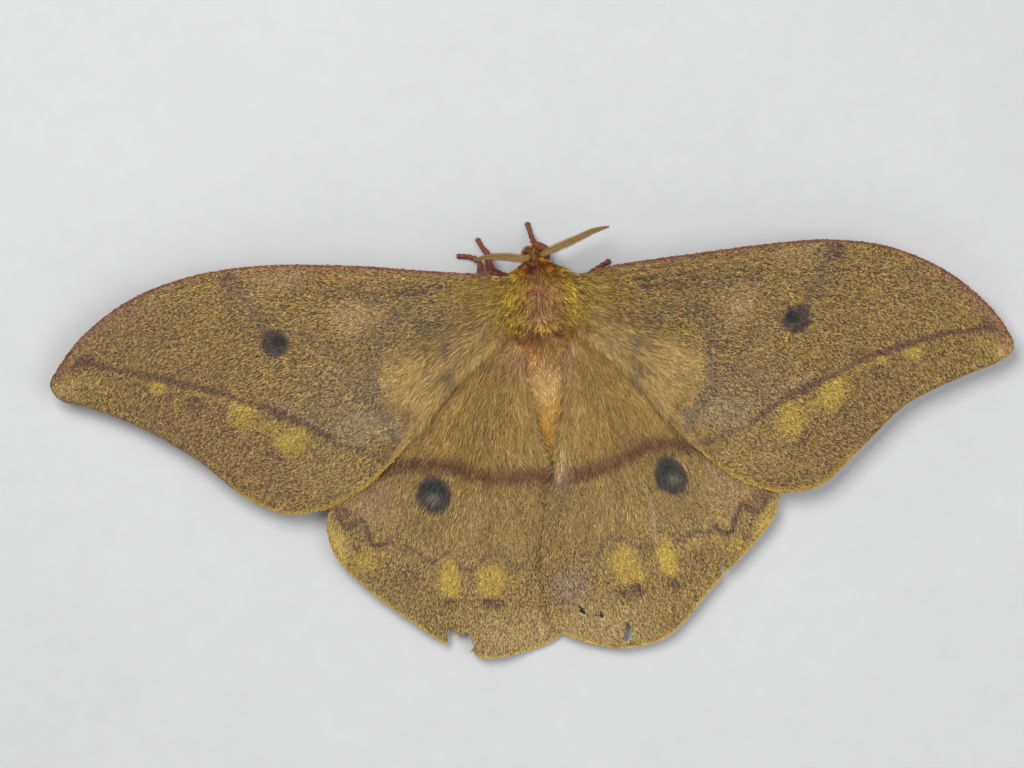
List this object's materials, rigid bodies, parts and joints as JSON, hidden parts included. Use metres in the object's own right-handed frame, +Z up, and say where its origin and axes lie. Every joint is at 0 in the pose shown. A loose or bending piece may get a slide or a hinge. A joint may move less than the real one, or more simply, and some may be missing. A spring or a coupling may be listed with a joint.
{
  "type": "pseudantheraea moth",
  "caption": "Large emperor moth at rest with its wings spread flat, furry body, comb-like feelers and small feet level on the ground.",
  "frame": {"origin": "on the ground, under the middle of the moth's box", "axes": "+X to the moth's own right wing tip, +Y towards its head, +Z up from its back"},
  "size_m": [0.1498, 0.0682, 0.0115],
  "materials": {
    "gold_fur": "dense golden-olive fur, rust on the collar",
    "pale_fur": "short pale orange fur",
    "wing_scales": "matt gold and purple-brown scales",
    "feeler": "matt tan-olive comb",
    "leg_fur": "close brick-brown hair",
    "eye_gloss": "glossy dark faceted eye"
  },
  "bodies": {
    "root": {"thorax": "gold_fur", "head": "gold_fur", "abdomen": "pale_fur", "forewing_left": "wing_scales", "forewing_right": "wing_scales", "hindwing_left": "wing_scales", "hindwing_right": "wing_scales", "antenna_left": "feeler", "antenna_right": "feeler", "leg_fore_left": "leg_fur", "leg_fore_right": "leg_fur", "leg_mid_left": "leg_fur", "leg_mid_right": "leg_fur", "leg_hind_left": "leg_fur", "leg_hind_right": "leg_fur", "eye_left": "eye_gloss", "eye_right": "eye_gloss"}
  },
  "joints": []
}
